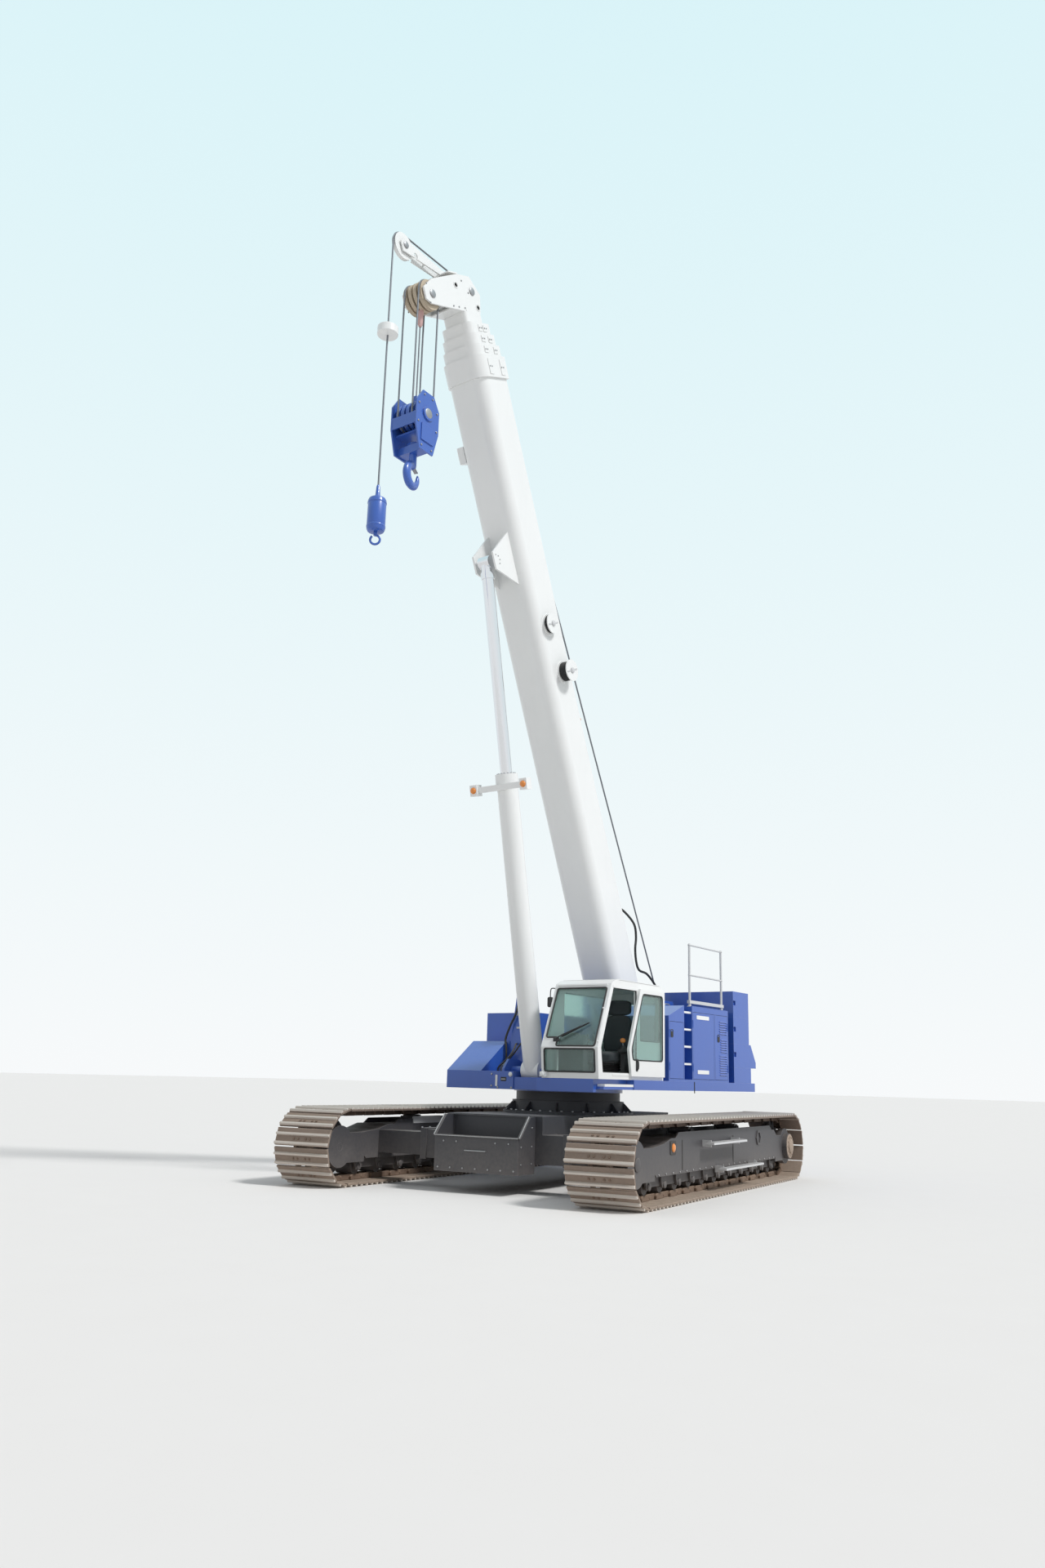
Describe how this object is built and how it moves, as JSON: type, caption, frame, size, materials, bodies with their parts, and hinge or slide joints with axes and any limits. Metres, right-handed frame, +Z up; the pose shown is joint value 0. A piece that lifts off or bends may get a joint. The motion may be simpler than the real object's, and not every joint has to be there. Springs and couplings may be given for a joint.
{
  "type": "telescopic crawler crane",
  "caption": "Crawler crane with a stowed telescopic boom, luffing cylinder, open cab door, hooks, wide tracks, hoods with doors and stacked counterweight",
  "frame": {"origin": "on the ground, in the middle of the whole crane as it stands, fore and aft and across", "axes": "+X forward along the upper works and boom, +Y to the cab side, +Z up"},
  "size_m": [9.2067, 6.1682, 13.5404],
  "materials": {
    "white": "clean gloss off-white paint",
    "blue": "gloss royal blue paint, lightly dusty",
    "dark": "near-black paint with pale dust in the corners",
    "shoes": "bare steel, worn bright on the bars with tan dust",
    "steel": "plain machined steel",
    "chrome": "polished hard chrome",
    "grey": "light grey paint",
    "glass": "green-tinted clear glass",
    "trim": "dark moulded plastic and seat cloth",
    "rope": "greased wire rope",
    "sheave": "tan cast nylon sheaves"
  },
  "bodies": {
    "chassis": {"carbody": "dark", "slew_ring": "dark", "stowage_tray": "dark"},
    "track_unit_left": {"frame_left": "dark", "track_left": "shoes", "wheels_left": "dark", "steps_left": "grey"},
    "track_unit_right": {"frame_right": "dark", "track_right": "shoes", "wheels_right": "dark", "steps_right": "grey"},
    "upper": {"turntable": "blue", "decks": "blue", "nose_box": "blue", "hood_left": "blue", "hood_right": "blue", "ladder": "white", "engine_block": "steel", "winches": "steel", "cw_base": "blue", "cw_lower": "blue", "cw_middle": "blue", "cw_top": "blue", "handrails": "grey", "cab_body": "white", "cab_glass": "glass", "cab_seat": "trim"},
    "sliding_door": {"cab_door": "white", "door_glass": "glass"},
    "front_hatch": {"hatch_front": "blue"},
    "middle_hatch": {"hatch_middle": "blue"},
    "rear_hatch": {"hatch_rear": "blue"},
    "boom": {"boom_base": "white", "cable_reels": "white"},
    "section_two": {"boom_two": "white"},
    "section_three": {"boom_three": "white"},
    "section_four": {"boom_four": "white"},
    "fly": {"boom_fly": "white", "boom_head": "white", "head_sheaves": "sheave", "nose_jib": "white"},
    "barrel": {"luff_barrel": "white"},
    "rod": {"luff_rod": "chrome"},
    "main_block": {"hook_falls": "rope", "hook_block": "blue"},
    "main_swivel": {"main_hook": "blue"},
    "aux_fall": {"aux_line": "blue"},
    "aux_swivel": {"aux_hook": "blue"}
  },
  "joints": [
    {"name": "track_slide_left", "type": "slide", "parent": "chassis", "child": "track_unit_left", "axis": [0.1219, -0.9925, 0], "range_m": [0, 0.65]},
    {"name": "track_slide_right", "type": "slide", "parent": "chassis", "child": "track_unit_right", "axis": [-0.1219, 0.9925, 0], "range_m": [0, 0.65]},
    {"name": "slew", "type": "hinge", "parent": "chassis", "child": "upper", "pos_m": [-0.58344, 0, 1.3], "axis": [0, 0, 1], "continuous": true},
    {"name": "door_slide", "type": "slide", "parent": "upper", "child": "sliding_door", "axis": [1, 0, 0], "range_m": [0, 0.75]},
    {"name": "hatch_front_hinge", "type": "hinge", "parent": "upper", "child": "front_hatch", "pos_m": [-1.09344, 1.5, 2.02], "axis": [0, 0, -1], "range_deg": [0, 100]},
    {"name": "hatch_middle_hinge", "type": "hinge", "parent": "upper", "child": "middle_hatch", "pos_m": [-1.87344, 1.5, 2.02], "axis": [0, 0, -1], "range_deg": [0, 100]},
    {"name": "hatch_rear_hinge", "type": "hinge", "parent": "upper", "child": "rear_hatch", "pos_m": [-3.12344, 1.5, 2.02], "axis": [0, 0, 1], "range_deg": [0, 100]},
    {"name": "boom_luff", "type": "hinge", "parent": "upper", "child": "boom", "pos_m": [-2.08344, 0, 2.42], "axis": [0, -1, 0], "range_deg": [-47, 15]},
    {"name": "telescope", "type": "slide", "parent": "boom", "child": "section_two", "axis": [0.4226, 0, 0.9063], "range_m": [0, 8.5]},
    {"name": "telescope_three", "type": "slide", "parent": "section_two", "child": "section_three", "axis": [0.4226, 0, 0.9063], "range_m": [0, 8.5]},
    {"name": "telescope_four", "type": "slide", "parent": "section_three", "child": "section_four", "axis": [0.4226, 0, 0.9063], "range_m": [0, 8.5]},
    {"name": "telescope_fly", "type": "slide", "parent": "section_four", "child": "fly", "axis": [0.4226, 0, 0.9063], "range_m": [0, 8.5]},
    {"name": "barrel_tilt", "type": "hinge", "parent": "upper", "child": "barrel", "pos_m": [0.35656, 0, 1.62], "axis": [0, -1, 0], "range_deg": [-50.76, 16.2]},
    {"name": "rod_stroke", "type": "slide", "parent": "barrel", "child": "rod", "axis": [0.2104, 0, 0.9776], "range_m": [-1.90312, 0.60738]},
    {"name": "falls_plumb", "type": "hinge", "parent": "fly", "child": "main_block", "pos_m": [3.79604, 0, 12.71918], "axis": [0, -1, 0], "range_deg": [-15, 47]},
    {"name": "main_hook_swivel", "type": "hinge", "parent": "main_block", "child": "main_swivel", "pos_m": [3.79604, 0, 10.11918], "axis": [0, 0, 1], "continuous": true},
    {"name": "aux_plumb", "type": "hinge", "parent": "fly", "child": "aux_fall", "pos_m": [4.27633, 0, 13.29958], "axis": [0, -1, 0], "range_deg": [-15, 47]},
    {"name": "aux_hook_swivel", "type": "hinge", "parent": "aux_fall", "child": "aux_swivel", "pos_m": [4.47663, 0, 8.54958], "axis": [0, 0, 1], "continuous": true}
  ],
  "couplings": [
    {"joint": "telescope_three", "follows": "telescope", "ratio": 1},
    {"joint": "telescope_four", "follows": "telescope", "ratio": 1},
    {"joint": "telescope_fly", "follows": "telescope", "ratio": 1},
    {"joint": "barrel_tilt", "follows": "boom_luff", "ratio": 1.08},
    {"joint": "rod_stroke", "follows": "boom_luff", "m_per_rad": 2.32},
    {"joint": "falls_plumb", "follows": "boom_luff", "ratio": -1},
    {"joint": "aux_plumb", "follows": "boom_luff", "ratio": -1}
  ]
}
